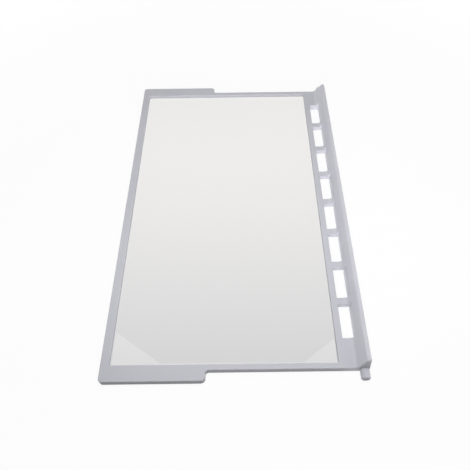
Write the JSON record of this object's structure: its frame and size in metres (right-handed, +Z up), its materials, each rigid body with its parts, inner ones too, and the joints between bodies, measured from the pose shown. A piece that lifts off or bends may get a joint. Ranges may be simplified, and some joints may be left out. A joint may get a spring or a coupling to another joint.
{
  "type": "refrigerator glass shelf",
  "caption": "Flat rectangular refrigerator shelf: a clear glass pane set in a light grey moulded frame with side tabs, a vented rear strip, a raised back rail and end pins.",
  "frame": {"origin": "middle of the underside: centre of the bounding box in X and Y, at its lowest level", "axes": "+X along the shelf's width, +Y from the front edge back to the rail, +Z up from the underside"},
  "size_m": [0.475, 0.289, 0.0248],
  "materials": {
    "frame_plastic": "satin moulded polystyrene, light grey with a slight lavender cast",
    "clear_glass": "clear flat tempered glass with ground edges"
  },
  "bodies": {
    "root": {"shelf_frame": "frame_plastic", "glass_pane": "clear_glass"}
  },
  "joints": []
}
